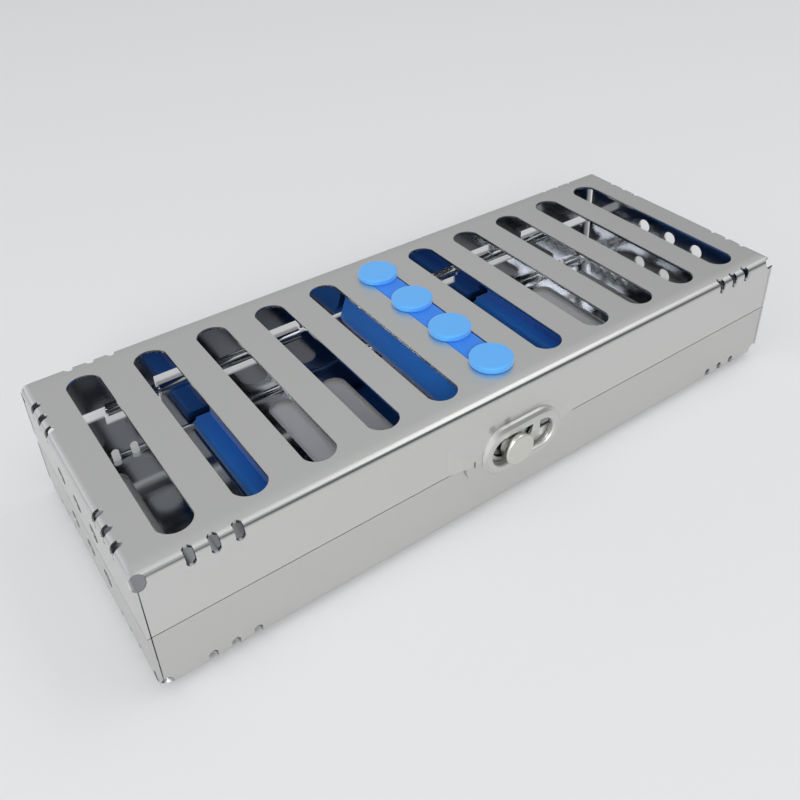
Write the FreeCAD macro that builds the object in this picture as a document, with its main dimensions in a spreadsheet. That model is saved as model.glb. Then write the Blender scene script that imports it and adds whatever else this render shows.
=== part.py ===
import FreeCAD, Part
import os
import re
import Sketcher

# Driving dimensions, in millimetres and degrees
SIZES = [
    ("length", 200, "over the end walls"),
    ("width", 77, "over the front and back walls"),
    ("steel_height", 35, "from the tray's underside to the lid's top"),
    ("parting_height", 17.5, "from the tray's underside to the parting line"),
    ("parting_gap", 0.3, "between the tray's and the lid's edges"),
    ("sheet", 0.8, "steel thickness of tray and lid"),
    ("fold_radius", 2, "outside radius of the folds"),
    ("foot_height", 1.5, "thickness of the silicone buttons"),
    ("vent_pitch", 17.34, "between the long slots"),
    ("vent_count", 11, "long slots in the tray and in the lid"),
    ("vent_width", 8.6, "across a long slot"),
    ("vent_length", 64, "end to end of a long slot"),
    ("vent_bulge", 3.3, "rise of a long slot's round end"),
    ("relief_width", 2.2, "across a fold relief slot"),
    ("relief_corner", 0.7, "bevelled corners at a relief slot's ends"),
    ("relief_pitch", 5.45, "between fold relief slots"),
    ("relief_count", 3, "fold relief slots in a group"),
    ("relief_inset", 2.5, "reach of a relief slot over the plate"),
    ("relief_drop", 3.7, "reach of a relief slot down the wall"),
    ("relief_from_end", 12.3, "outermost relief slot from the end wall"),
    ("relief_from_side", 11.1, "outermost relief slot from the front wall"),
    ("corner_hole", 3.5, "diameter of a corner relief hole"),
    ("corner_from_end", 1.4, "corner hole's middle from the end wall's outside"),
    ("corner_from_wall", 0.4, "corner hole's middle from the front or back wall's outside"),
    ("corner_from_plate", 1.5, "corner hole's middle from the plate's outside"),
    ("end_hole", 4.6, "diameter of an end wall hole"),
    ("end_hole_pitch", 11.2, "between end wall holes"),
    ("end_hole_from_plate", 10.25, "end wall holes from the nearer plate"),
    ("front_seam", 0.25, "open joint at the front corners"),
    ("back_seam", 1.3, "open joint at the back corners"),
    ("knuckle_length", 14.2, "one hinge knuckle"),
    ("knuckle_gap", 0.8, "between hinge knuckles"),
    ("hinge_inner", 22.3, "inner end of each hinge from the middle"),
    ("pin_diameter", 2.4, "hinge pin"),
    ("pin_clearance", 0.05, "radial, between pin and knuckle"),
    ("pin_overhang", 0.4, "pin past the last knuckle"),
    ("hinge_cut", 4.8, "depth of the wall notches from the hinge axis"),
    ("lid_lift", 1.4, "lid's back edge above the hinge axis"),
    ("tray_drop", 2, "tray's back edge below the axis outside the hinges"),
    ("curl_mouth", 0.4, "open joint where a knuckle's curl ends"),
    ("tab_left", 18.3, "tab's left end from the middle"),
    ("tab_right", 14, "tab's right end from the middle"),
    ("tab_bottom", 9.8, "tab's lower edge above the tray's underside"),
    ("tab_top", 25.6, "upper end of the joggle that brings the tab out"),
    ("tab_ramp", 5, "run of that joggle, above the tab and to both sides"),
    ("tab_gap", 0.1, "between the tray's wall and the tab"),
    ("tab_corner", 8, "radius of the tab's lower corners"),
    ("slit_inset", 2.4, "tab's small slit from its left end"),
    ("slit_width", 0.6, "tab's small slit"),
    ("slit_height", 2.1, "tab's small slit"),
    ("slit_middle", 17.6, "tab's small slit above the tray's underside"),
    ("window_length", 20.2, "latch window, end to end"),
    ("window_height", 8.5, "latch window"),
    ("window_shift", 0.2, "latch window's middle to the left of the box's"),
    ("window_middle", 17.5, "latch window's middle above the tray's underside"),
    ("rim_width", 3, "raised rim round the latch window"),
    ("rim_height", 0.9, "raised rim above the tab"),
    ("rim_slope", 0.75, "bevels of the raised rim"),
    ("tongue_left", 12, "tray's front tongue, left end from the middle"),
    ("tongue_right", 6.8, "tray's front tongue, right end from the middle"),
    ("tongue_top", 21, "tongue's top above the tray's underside"),
    ("notch_radius", 7.2, "round notch in the tongue"),
    ("notch_middle", 20.5, "notch's middle above the tray's underside"),
    ("knob_shift", 2.8, "knob left of the middle at rest"),
    ("knob_head", 9.2, "diameter of the knob's head"),
    ("head_height", 1.2, "knob's head"),
    ("knob_body", 8.1, "diameter of the knob behind its head"),
    ("knob_reach", 3.6, "knob's face in front of the tray's front wall"),
    ("knob_chamfer", 0.4, "knob's rim"),
    ("neck_diameter", 4.4, "knob's neck through the notch"),
    ("slider_sheet", 0.8, "slider's thickness"),
    ("slider_clear", 0.4, "between the front walls and the slider"),
    ("slider_length", 24, "slider"),
    ("slider_bottom", 11.6, "slider's lower edge above the tray's underside"),
    ("slider_top", 31, "slider's upper edge above the tray's underside"),
    ("slider_play", 0.1, "between the slider and what guides it"),
    ("slider_travel", 3.2, "to each side"),
    ("hook_length", 4, "slider's finger"),
    ("hook_height", 1.6, "slider's finger"),
    ("rivet_lap", 0.9, "riveted end past the knob's neck"),
    ("rivet_clear", 0.02, "radial, between the knob's neck and the slider"),
    ("keeper_length", 4.4, "keeper along the wall"),
    ("keeper_reach", 2.1, "keeper's ledge from the wall"),
    ("guide_wing", 5, "welded ends of the guide strap"),
    ("guide_height", 7, "guide strap"),
    ("guide_sheet", 0.8, "guide strap's thickness"),
    ("spring_room", 0.9, "between slider and guide strap"),
    ("spring_sheet", 0.3, "leaf spring's thickness"),
    ("spring_length", 18, "leaf spring"),
    ("spring_height", 4, "leaf spring"),
    ("button_diameter", 11.6, "round silicone buttons"),
    ("button_pitch", 17.5, "between buttons"),
    ("button_count", 4, "buttons on each moulding"),
    ("lid_button", 1.8, "height of the buttons on the lid"),
    ("neck_clear", 0.1, "between silicone and the slot's edge"),
    ("silicone_end", 0.1, "between the silicone's ends and the folds"),
    ("bar_waist", 12, "hold-down bar at the lid"),
    ("bar_shoulder", 16.6, "hold-down bar at its widest"),
    ("bar_tip", 12.8, "hold-down bar's underside"),
    ("bar_waist_level", 24, "where the hold-down bar starts to widen"),
    ("bar_shoulder_level", 18, "where the hold-down bar is widest"),
    ("bar_bottom_level", 14, "hold-down bar's underside"),
    ("bar_round", 1.2, "rounding along the hold-down bar"),
    ("bar_clear", 0.7, "between the hold-down bar and the guide strap"),
    ("rail_slot", 3, "long slot that holds a rail, counted from the middle"),
    ("rail_width", 15.5, "rail's foot"),
    ("rail_height", 3.2, "rail's foot"),
    ("rail_round", 1.4, "rounding along the rail's foot"),
    ("fin_width", 5.5, "rail's raised fin"),
    ("fin_height", 9.2, "rail's fin above the tray's floor"),
    ("place_pitch", 13, "between instrument places"),
    ("place_count", 5, "instrument places"),
    ("place_width", 8, "instrument place"),
    ("place_depth", 4.6, "instrument place"),
]

doc = FreeCAD.newDocument("instrument_cassette")
sheet = doc.addObject("Spreadsheet::Sheet", "sizes")
for row, (alias, value, meaning) in enumerate(SIZES, start=1):
    sheet.set("A%d" % row, meaning)
    sheet.set("B%d" % row, str(value))
    sheet.setAlias("B%d" % row, alias)
doc.recompute()
ALIASES = {alias for alias, value, meaning in SIZES}


def rule(text):
    """An expression with each size's name pointing into the sheet."""
    return re.sub(r"[a-z_]+", lambda m: "sizes." + m.group() if m.group() in ALIASES else m.group(), text)


def number(text):
    return float(sheet.evalExpression(rule(text).replace("sizes.", "")))


def bind(item, **rules):
    for prop, text in rules.items():
        item.setExpression(prop, rule(text))


def origin_part(body, role):
    return next(item for item in body.Origin.OriginFeatures if item.Role == role)


def new_body(name):
    body = doc.addObject("PartDesign::Body", name)
    body.Label = name
    return body


def sketch_on(body, name, role, lift="0"):
    """A sketch on one of the body's planes, lifted along the plane's normal."""
    sketch = body.newObject("Sketcher::SketchObject", name)
    sketch.AttachmentSupport = (origin_part(body, role), [""])
    sketch.MapMode = "FlatFace"
    sketch.setExpression("AttachmentOffset.Base.z", rule(lift))
    return sketch


def pin(sketch, item, point, across, up):
    """Holds one point of a sketch at a place worked out from the sizes."""
    for kind, text in (("DistanceX", across), ("DistanceY", up)):
        made = sketch.addConstraint(Sketcher.Constraint(kind, -1, 1, item, point, number(text)))
        sketch.setExpression("Constraints[%d]" % made, rule(text))


def outline(sketch, corners):
    """A closed outline. A corner that also gives a bulge starts an arc, with the bulge to the right of its chord."""
    first = sketch.GeometryCount
    places = [FreeCAD.Vector(number(c[0]), number(c[1]), 0) for c in corners]
    for i, corner in enumerate(corners):
        start = places[i]
        end = places[(i + 1) % len(corners)]
        if len(corner) == 3:
            chord = end - start
            side = FreeCAD.Vector(chord.y, -chord.x, 0).normalize()
            top = (start + end) * 0.5 + side * number(corner[2])
            sketch.addGeometry(Part.Arc(start, top, end), False)
        else:
            sketch.addGeometry(Part.LineSegment(start, end), False)
    for i, corner in enumerate(corners):
        here = first + i
        following = (i + 1) % len(corners)
        arc_here = len(corner) == 3
        clockwise = arc_here and number(corner[2]) < 0
        tail = 1 if clockwise else 2
        next_clockwise = len(corners[following]) == 3 and number(corners[following][2]) < 0
        head = 2 if next_clockwise else 1
        sketch.addConstraint(Sketcher.Constraint("Coincident", here, tail, first + following, head))
    for i, corner in enumerate(corners):
        start_point = 2 if len(corner) == 3 and number(corner[2]) < 0 else 1
        pin(sketch, first + i, start_point, corner[0], corner[1])
        if len(corner) == 3:
            after = corners[(i + 1) % len(corners)]
            half = "((({0}) - ({2}))^2 + (({1}) - ({3}))^2)/4".format(corner[0], corner[1], after[0], after[1])
            radius = "(%s + (%s)^2)/(2*abs(%s))" % (half, corner[2], corner[2])
            made = sketch.addConstraint(Sketcher.Constraint("Radius", first + i, number(radius)))
            sketch.setExpression("Constraints[%d]" % made, rule(radius))


def rectangle(sketch, left, right, low, high):
    outline(sketch, [(left, low), (right, low), (right, high), (left, high)])


def circle(sketch, across, up, diameter):
    size = number(diameter)
    item = sketch.addGeometry(Part.Circle(FreeCAD.Vector(number(across), number(up), 0),
                                          FreeCAD.Vector(0, 0, 1), size / 2), False)
    pin(sketch, item, 3, across, up)
    made = sketch.addConstraint(Sketcher.Constraint("Diameter", item, size))
    sketch.setExpression("Constraints[%d]" % made, rule(diameter))


def stadium(sketch, across, up, length, height):
    """A slot with full round ends, lying along the sketch's first axis."""
    radius = "(%s)/2" % height
    left = "%s - (%s)/2 + %s" % (across, length, radius)
    right = "%s + (%s)/2 - %s" % (across, length, radius)
    first = sketch.GeometryCount
    reach = FreeCAD.Vector(number(radius), 0, 0)
    rise = FreeCAD.Vector(0, number(radius), 0)
    left_middle = FreeCAD.Vector(number(left), number(up), 0)
    right_middle = FreeCAD.Vector(number(right), number(up), 0)
    sketch.addGeometry(Part.LineSegment(left_middle - rise, right_middle - rise), False)
    sketch.addGeometry(Part.Arc(right_middle - rise, right_middle + reach, right_middle + rise), False)
    sketch.addGeometry(Part.LineSegment(right_middle + rise, left_middle + rise), False)
    sketch.addGeometry(Part.Arc(left_middle + rise, left_middle - reach, left_middle - rise), False)
    for i in range(4):
        sketch.addConstraint(Sketcher.Constraint("Tangent", first + i, 2, first + (i + 1) % 4, 1))
    pin(sketch, first + 1, 3, right, up)
    pin(sketch, first + 3, 3, left, up)
    made = sketch.addConstraint(Sketcher.Constraint("Radius", first + 1, number(radius)))
    sketch.setExpression("Constraints[%d]" % made, rule(radius))


def extrude(body, kind, name, sketch, depth, forward):
    """A pad or pocket from a sketch: forward is along the sketch's normal."""
    before = body.Shape.Volume if body.Tip else 0
    item = body.newObject("PartDesign::" + kind, name)
    item.Profile = sketch
    bind(item, Length=depth)
    item.Refine = kind == "Pad"
    item.Reversed = forward if kind == "Pocket" else not forward
    sketch.Visibility = False
    doc.recompute()
    change = body.Shape.Volume - before
    if (change >= 0 and kind == "Pocket") or (change <= 0 and kind == "Pad"):
        raise ValueError("%s changes nothing" % name)
    return item


def pad(body, name, sketch, depth, forward=True):
    return extrude(body, "Pad", name, sketch, depth, forward)


def pocket(body, name, sketch, depth, forward=True):
    return extrude(body, "Pocket", name, sketch, depth, forward)


def row_of(body, name, originals, axis, count, pitch):
    """Copies of features in a row along one of the body's axes."""
    item = body.newObject("PartDesign::LinearPattern", name)
    item.Refine = False
    item.Originals = originals
    item.Direction = (origin_part(body, axis), [""])
    bind(item, Occurrences=count, Length="(%s - 1)*(%s)" % (count, pitch))
    body.Tip = item
    doc.recompute()
    return item


def spread(body, name, originals, steps):
    """Copies of features by rows and mirrors, one after the other."""
    many = body.newObject("PartDesign::MultiTransform", name)
    many.Refine = False
    many.Originals = originals
    parts = []
    for i, step in enumerate(steps):
        if step[0] == "row":
            part = body.newObject("PartDesign::LinearPattern", "%s_row%d" % (name, i))
            part.Direction = (origin_part(body, step[1]), [""])
            bind(part, Occurrences=step[2], Length="(%s - 1)*(%s)" % (step[2], step[3]))
        else:
            part = body.newObject("PartDesign::Mirrored", "%s_mirror%d" % (name, i))
            part.MirrorPlane = (origin_part(body, step[1]), [""])
        parts.append(part)
    many.Transformations = parts
    body.Tip = many
    doc.recompute()
    return many


def edges_where(item, test):
    found = ["Edge%d" % i for i, edge in enumerate(item.Shape.Edges, start=1) if test(edge)]
    if not found:
        raise ValueError("no edge found for " + item.Label)
    return found


def faces_where(item, test):
    return ["Face%d" % i for i, face in enumerate(item.Shape.Faces, start=1) if test(face)]


def round_edges(body, name, base, test, radius):
    item = body.newObject("PartDesign::Fillet", name)
    item.Base = (base, edges_where(base, test))
    bind(item, Radius=radius)
    body.Tip = item
    doc.recompute()
    return item


def bevel_edges(body, name, base, test, size):
    item = body.newObject("PartDesign::Chamfer", name)
    item.Base = (base, edges_where(base, test))
    bind(item, Size=size)
    body.Tip = item
    doc.recompute()
    return item


def loft(body, kind, name, sketches):
    """A body with flat sides from one outline to the next."""
    before = body.Shape.Volume
    item = body.newObject("PartDesign::" + kind, name)
    item.Profile = sketches[0]
    item.Sections = sketches[1:]
    item.Ruled = True
    for sketch in sketches:
        sketch.Visibility = False
    doc.recompute()
    if abs(body.Shape.Volume - before) < 1:
        raise ValueError("%s changes nothing" % name)
    return item


def near(a, b):
    return abs(a - b) < 1e-4


def flat_at(edge, level):
    box = edge.BoundBox
    return near(box.ZMin, level) and near(box.ZMax, level)


TRAY_FLOOR = "foot_height"
PARTING = "(foot_height + parting_height)"
LID_TOP = "(foot_height + steel_height)"
TRAY_EDGE = "(%s - parting_gap/2)" % PARTING
LID_EDGE = "(%s + parting_gap/2)" % PARTING
AXIS_Y = "(width/2 - sheet/2)"
BORE = "(pin_diameter + 2*pin_clearance)"
KNUCKLE = "(%s + 2*sheet)" % BORE
KNUCKLE_PITCH = "(knuckle_length + knuckle_gap)"
HINGE_LENGTH = "(4*knuckle_length + 3*knuckle_gap)"
HINGE_OUTER = "(hinge_inner + %s)" % HINGE_LENGTH
HINGE_SHIFT = "(hinge_inner + %s)" % HINGE_OUTER
THROUGH = "(1.5*sheet)"
QUARTER_BULGE = "(1 - sqrt(2)/2)"


def vent_outline(sketch, middle, inset):
    """The outline of one long slot, or of what fills it."""
    half = "(vent_width/2 - %s)" % inset
    straight = "(vent_length/2 - vent_bulge - %s)" % inset
    outline(sketch, [
        ("%s - %s" % (middle, half), "-%s" % straight, "vent_bulge"),
        ("%s + %s" % (middle, half), "-%s" % straight),
        ("%s + %s" % (middle, half), straight, "vent_bulge"),
        ("%s - %s" % (middle, half), straight),
    ])


def relief_end(middle, near_end, far_end, back="-"):
    """The bevelled end of a relief slot. Back is the sign of the way from its far end to its near end."""
    low = "(%s - relief_width/2)" % middle
    high = "(%s + relief_width/2)" % middle
    shoulder = "(%s %s relief_corner)" % (far_end, back)
    return [
        (low, near_end),
        (high, near_end),
        (high, shoulder),
        ("%s - relief_corner" % high, far_end),
        ("%s + relief_corner" % low, far_end),
        (low, shoulder),
    ]


def folded_blank(name, plate_level, edge_level):
    """A box folded up from one sheet, open at the parting line: rounded folds, hollow one sheet in.

    The plate is the tray's floor or the lid's top. Up is the way from the plate to the open edge."""
    body = new_body(name)
    up = number(edge_level) > number(plate_level)
    depth = "abs(%s - %s)" % (edge_level, plate_level)
    blank = sketch_on(body, name + "_blank_sketch", "XY_Plane", plate_level)
    rectangle(blank, "-length/2", "length/2", "-width/2", "width/2")
    block = pad(body, name + "_blank", blank, depth, up)
    level = number(plate_level)
    folds = round_edges(body, name + "_folds", block, lambda e: flat_at(e, level), "fold_radius")
    mouth = number(edge_level)
    hollow = body.newObject("PartDesign::Thickness", name + "_hollow")
    hollow.Base = (folds, faces_where(folds, lambda f: near(f.BoundBox.ZMin, mouth) and near(f.BoundBox.ZMax, mouth)))
    bind(hollow, Value="sheet")
    hollow.Reversed = True
    hollow.Mode = "Skin"
    hollow.Join = "Arc"
    body.Tip = hollow
    doc.recompute()
    return body


def punch(body, plate_level, edge_level):
    """All slots and holes of a folded box, and the open joints at its corners."""
    name = body.Label
    up = number(edge_level) > number(plate_level)
    away, back = ("+", "-") if up else ("-", "+")

    # Long slots across the plate
    vent = sketch_on(body, name + "_vent_sketch", "XY_Plane", plate_level)
    vent_outline(vent, "-(vent_count - 1)/2*vent_pitch", "0")
    slot = pocket(body, name + "_vent", vent, THROUGH, up)
    row_of(body, name + "_vents", [slot], "X_Axis", "vent_count", "vent_pitch")

    # Relief slots over the folds, in threes at every corner
    for edge, wall_plane, wall_lift, start in (
            ("long", "XZ_Plane", "width/2", "-length/2 + relief_from_end"),
            ("short", "YZ_Plane", "-length/2", "-width/2 + relief_from_side")):
        plate = sketch_on(body, "%s_%s_relief_plate_sketch" % (name, edge), "XY_Plane", plate_level)
        reach = "-width/2" if edge == "long" else "-length/2"
        inner = "(%s + relief_inset)" % reach
        outer = "(%s - 1)" % reach
        slot_end = [(across, along) for along, across in relief_end(start, outer, inner)]
        outline(plate, slot_end if edge == "short" else [(along, across) for across, along in slot_end])
        run = pocket(body, "%s_%s_relief_plate" % (name, edge), plate, "relief_drop - relief_corner", up)
        wall = sketch_on(body, "%s_%s_relief_wall_sketch" % (name, edge), wall_plane, wall_lift)
        drop = "(%s %s relief_drop)" % (plate_level, away)
        outline(wall, relief_end(start, "(%s %s relief_drop/2)" % (plate_level, away), drop, back))
        end = pocket(body, "%s_%s_relief_wall" % (name, edge), wall, THROUGH, edge == "short")
        spread(body, "%s_%s_reliefs" % (name, edge), [run, end], [
            ("row", "X_Axis" if edge == "long" else "Y_Axis", "relief_count", "relief_pitch"),
            ("mirror", "YZ_Plane"),
            ("mirror", "XZ_Plane"),
        ])

    # A hole on each end of the long folds, square to the fold, where the folds meet
    hole_level = "%s %s corner_from_plate" % (plate_level, away)
    drill = body.newObject("PartDesign::SubtractiveCylinder", name + "_corner_hole")
    inward = FreeCAD.Vector(0, 1, 1 if up else -1)
    drill.Placement = FreeCAD.Placement(FreeCAD.Vector(), FreeCAD.Rotation(FreeCAD.Vector(0, 0, 1), inward))
    bind(drill, **{"Radius": "corner_hole/2", "Height": "2*corner_hole",
                   "Placement.Base.x": "-length/2 + corner_from_end",
                   "Placement.Base.y": "-width/2 + corner_from_wall - corner_hole*sqrt(2)/2",
                   "Placement.Base.z": "%s %s corner_hole*sqrt(2)/2" % (hole_level, back)})
    drill.Refine = False
    doc.recompute()
    spread(body, name + "_corner_holes", [drill], [("mirror", "YZ_Plane"), ("mirror", "XZ_Plane")])

    # Round holes through both end walls
    ends = sketch_on(body, name + "_end_hole_sketch", "YZ_Plane", "-length/2 - 1")
    for place in ("-end_hole_pitch", "0*end_hole_pitch", "end_hole_pitch"):
        circle(ends, place, "%s %s end_hole_from_plate" % (plate_level, away), "end_hole")
    pocket(body, name + "_end_holes", ends, "length + 2", True)

    # Open joints: the front wall ends at the end walls, and the end walls stop short of the back wall
    joints = sketch_on(body, name + "_seam_sketch", "XY_Plane", hole_level)
    end_inside = "length/2 - sheet"
    rectangle(joints, "%s - front_seam" % end_inside, end_inside, "-width/2 - 1", "-width/2 + sheet")
    rectangle(joints, "-(%s)" % end_inside, "-(%s) + front_seam" % end_inside, "-width/2 - 1", "-width/2 + sheet")
    rectangle(joints, end_inside, "length/2 + 1", "width/2 - sheet - back_seam", "width/2 - sheet")
    rectangle(joints, "-length/2 - 1", "-(%s)" % end_inside, "width/2 - sheet - back_seam", "width/2 - sheet")
    pocket(body, name + "_seams", joints, "abs(%s - %s)" % (edge_level, plate_level), up)


def hinge_side(body, first, toward_wall, cut_to):
    """Notches for the other shell's knuckles, and this shell's own, curled out of its back wall."""
    name = body.Label
    other = 1 - first
    wall_lift = "-width/2"
    low = "(%s) %s hinge_cut" % (PARTING, toward_wall)
    start = "(-%s + %d*%s - knuckle_gap)" % (HINGE_OUTER, other, KNUCKLE_PITCH)
    notch = sketch_on(body, name + "_hinge_notch_sketch", "XZ_Plane", wall_lift)
    levels = (low, cut_to) if toward_wall == "-" else (cut_to, low)
    rectangle(notch, start, "%s + knuckle_length + 2*knuckle_gap" % start, *levels)
    gap = pocket(body, name + "_hinge_notch", notch, THROUGH)
    spread(body, name + "_hinge_notches", [gap], [
        ("row", "X_Axis", "2", "2*" + KNUCKLE_PITCH),
        ("row", "X_Axis", "2", HINGE_SHIFT),
    ])

    # One knuckle: the sheet curled round the pin, with an open joint where the curl ends
    begin = "(-%s + %d*%s)" % (HINGE_OUTER, first, KNUCKLE_PITCH)
    ring = sketch_on(body, name + "_knuckle_sketch", "YZ_Plane", begin)
    circle(ring, AXIS_Y, PARTING, KNUCKLE)
    curl = pad(body, name + "_knuckle", ring, "knuckle_length")
    mouth = sketch_on(body, name + "_curl_mouth_sketch", "YZ_Plane", begin)
    corners = []
    for reach, side in (("(%s/2 - 0.3)" % BORE, "-"), ("(%s/2 + 0.3)" % KNUCKLE, "-"),
                        ("(%s/2 + 0.3)" % KNUCKLE, "+"), ("(%s/2 - 0.3)" % BORE, "+")):
        across = "%s - 0.6*%s %s 0.8*curl_mouth/2" % (AXIS_Y, reach, side)
        turn = side if toward_wall == "+" else {"-": "+", "+": "-"}[side]
        up = "%s %s 0.8*%s %s 0.6*curl_mouth/2" % (PARTING, toward_wall, reach, turn)
        corners.append((across, up))
    outline(mouth, corners)
    opening = pocket(body, name + "_curl_mouth", mouth, "knuckle_length")
    spread(body, name + "_knuckles", [curl, opening], [
        ("row", "X_Axis", "2", "2*" + KNUCKLE_PITCH),
        ("row", "X_Axis", "2", HINGE_SHIFT),
    ])
    bore = sketch_on(body, name + "_bore_sketch", "YZ_Plane", "-%s - knuckle_gap/2" % HINGE_OUTER)
    circle(bore, AXIS_Y, PARTING, BORE)
    hole = pocket(body, name + "_bore", bore, "%s + knuckle_gap" % HINGE_LENGTH)
    row_of(body, name + "_bores", [hole], "X_Axis", "2", HINGE_SHIFT)


# Tray: folded shell, back edge lowered outside the hinges, knuckles, tongue with its notch
base_tray = folded_blank("base_tray", TRAY_FLOOR, TRAY_EDGE)
drop = sketch_on(base_tray, "tray_back_drop_sketch", "XZ_Plane", "-width/2")
for left, right in (("-length/2 - 1", "-%s" % HINGE_OUTER), ("%s + knuckle_gap" % HINGE_OUTER, "length/2 + 1")):
    rectangle(drop, left, right, "%s - tray_drop" % PARTING, "%s + 1" % PARTING)
pocket(base_tray, "tray_back_drop", drop, THROUGH)
hinge_side(base_tray, 1, "-", "(%s + 1)" % PARTING)

tongue = sketch_on(base_tray, "tongue_sketch", "XZ_Plane", "width/2")
tongue_top = "(foot_height + tongue_top)"
outline(tongue, [
    ("-tongue_left", "%s - sheet" % TRAY_EDGE),
    ("tongue_right", "%s - sheet" % TRAY_EDGE),
    ("tongue_right", "%s - sheet" % tongue_top, "%s*sheet" % QUARTER_BULGE),
    ("tongue_right - sheet", tongue_top),
    ("-tongue_left + sheet", tongue_top, "%s*sheet" % QUARTER_BULGE),
    ("-tongue_left", "%s - sheet" % tongue_top),
])
pad(base_tray, "tongue", tongue, "sheet", False)
notch = sketch_on(base_tray, "tongue_notch_sketch", "XZ_Plane", "width/2")
circle(notch, "-knob_shift", "foot_height + notch_middle", "2*notch_radius")
pocket(base_tray, "tongue_notch", notch, THROUGH, False)
punch(base_tray, TRAY_FLOOR, TRAY_EDGE)

# Lid: folded shell, back edge raised off the axis, knuckles, pressed-out tab with the latch window
lid_shell = folded_blank("lid_shell", LID_TOP, LID_EDGE)
lift = sketch_on(lid_shell, "lid_back_lift_sketch", "XZ_Plane", "-width/2")
rectangle(lift, "-length/2 - 1", "length/2 + 1", "%s - 1" % PARTING, "%s + lid_lift" % PARTING)
pocket(lid_shell, "lid_back_lift", lift, THROUGH)
hinge_side(lid_shell, 0, "+", "(%s - 1)" % PARTING)

TAB_BACK = "(width/2 + tab_gap)"
TAB_FACE = "(%s + sheet)" % TAB_BACK
JOGGLE_TOP = "(foot_height + tab_top)"


def joggle_outline(sketch, run, low):
    """The tab's outline above the parting line, or that outline widened by the joggle's run."""
    rectangle(sketch, "-tab_left - %s" % run, "tab_right + %s" % run, low, "%s - tab_ramp + %s" % (JOGGLE_TOP, run))


# The wall eases outwards over the tab, and its inside follows one sheet behind
outside = sketch_on(lid_shell, "joggle_foot_sketch", "XZ_Plane", "width/2")
joggle_outline(outside, "tab_ramp", LID_EDGE)
crown = sketch_on(lid_shell, "joggle_face_sketch", "XZ_Plane", TAB_FACE)
joggle_outline(crown, "0*tab_ramp", LID_EDGE)
loft(lid_shell, "AdditiveLoft", "joggle", [outside, crown])

tab = sketch_on(lid_shell, "tab_sketch", "XZ_Plane", TAB_BACK)
tab_low = "(foot_height + tab_bottom)"
outline(tab, [
    ("-tab_left + tab_corner", tab_low),
    ("tab_right - tab_corner", tab_low, "%s*tab_corner" % QUARTER_BULGE),
    ("tab_right", "%s + tab_corner" % tab_low),
    ("tab_right", "%s + sheet" % LID_EDGE),
    ("-tab_left", "%s + sheet" % LID_EDGE),
    ("-tab_left", "%s + tab_corner" % tab_low, "%s*tab_corner" % QUARTER_BULGE),
])
pad(lid_shell, "tab", tab, "sheet")

rim = sketch_on(lid_shell, "rim_sketch", "XZ_Plane", TAB_BACK)
window_level = "foot_height + window_middle"
stadium(rim, "-window_shift", window_level, "window_length + 2*rim_width", "window_height + 2*rim_width")
pad(lid_shell, "rim", rim, "sheet + rim_height")
window = sketch_on(lid_shell, "window_sketch", "XZ_Plane", "%s + rim_height" % TAB_FACE)
stadium(window, "-window_shift", window_level, "window_length", "window_height")
hole = pocket(lid_shell, "window", window, "rim_height + 2*sheet + 2*tab_gap", False)
crest = -number("%s + rim_height" % TAB_FACE)
bevel_edges(lid_shell, "rim_bevels", hole,
            lambda e: near(e.BoundBox.YMin, crest) and near(e.BoundBox.YMax, crest), "rim_slope")

inside = sketch_on(lid_shell, "joggle_inside_sketch", "XZ_Plane", "width/2 - sheet")
joggle_outline(inside, "tab_ramp", "%s - 1" % LID_EDGE)
bottom = sketch_on(lid_shell, "joggle_bottom_sketch", "XZ_Plane", TAB_BACK)
joggle_outline(bottom, "0*tab_ramp", "%s - 1" % LID_EDGE)
loft(lid_shell, "SubtractiveLoft", "joggle_hollow", [inside, bottom])

slit = sketch_on(lid_shell, "tab_slit_sketch", "XZ_Plane", TAB_FACE)
slit_level = "foot_height + slit_middle"
rectangle(slit, "-tab_left + slit_inset", "-tab_left + slit_inset + slit_width",
          "%s - slit_height/2" % slit_level, "%s + slit_height/2" % slit_level)
pocket(lid_shell, "tab_slit", slit, THROUGH, False)
punch(lid_shell, LID_TOP, LID_EDGE)


def hinge_pin(name, start):
    """A plain steel pin with broken edges, through the knuckles of one hinge."""
    body = new_body(name)
    section = sketch_on(body, name + "_sketch", "YZ_Plane", "%s - pin_overhang" % start)
    circle(section, AXIS_Y, PARTING, "pin_diameter")
    rod = pad(body, name + "_rod", section, "%s + 2*pin_overhang" % HINGE_LENGTH)
    bevel_edges(body, name + "_ends", rod, lambda e: near(e.BoundBox.XMin, e.BoundBox.XMax), "pin_diameter/8")
    return body


left_hinge_pin = hinge_pin("left_hinge_pin", "-%s" % HINGE_OUTER)
right_hinge_pin = hinge_pin("right_hinge_pin", "hinge_inner")


def snap_buttons(body, middle, plate_inside, up, height):
    """The strip that fills a long slot and the round buttons outside it, moulded on the inner bar."""
    name = body.Label
    strip = sketch_on(body, name + "_strip_sketch", "XY_Plane", plate_inside)
    vent_outline(strip, middle, "neck_clear")
    pad(body, name + "_strip", strip, "sheet", up)
    outside = "%s %s sheet" % (plate_inside, "+" if up else "-")
    button = sketch_on(body, name + "_button_sketch", "XY_Plane", outside)
    circle(button, middle, "-(button_count - 1)/2*button_pitch", "button_diameter")
    disc = pad(body, name + "_button", button, height, up)
    row_of(body, name + "_buttons", [disc], "Y_Axis", "button_count", "button_pitch")


SILICONE_LENGTH = "(width - 2*fold_radius - 2*silicone_end)"
SILICONE_LIFT = "(%s/2)" % SILICONE_LENGTH

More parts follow.
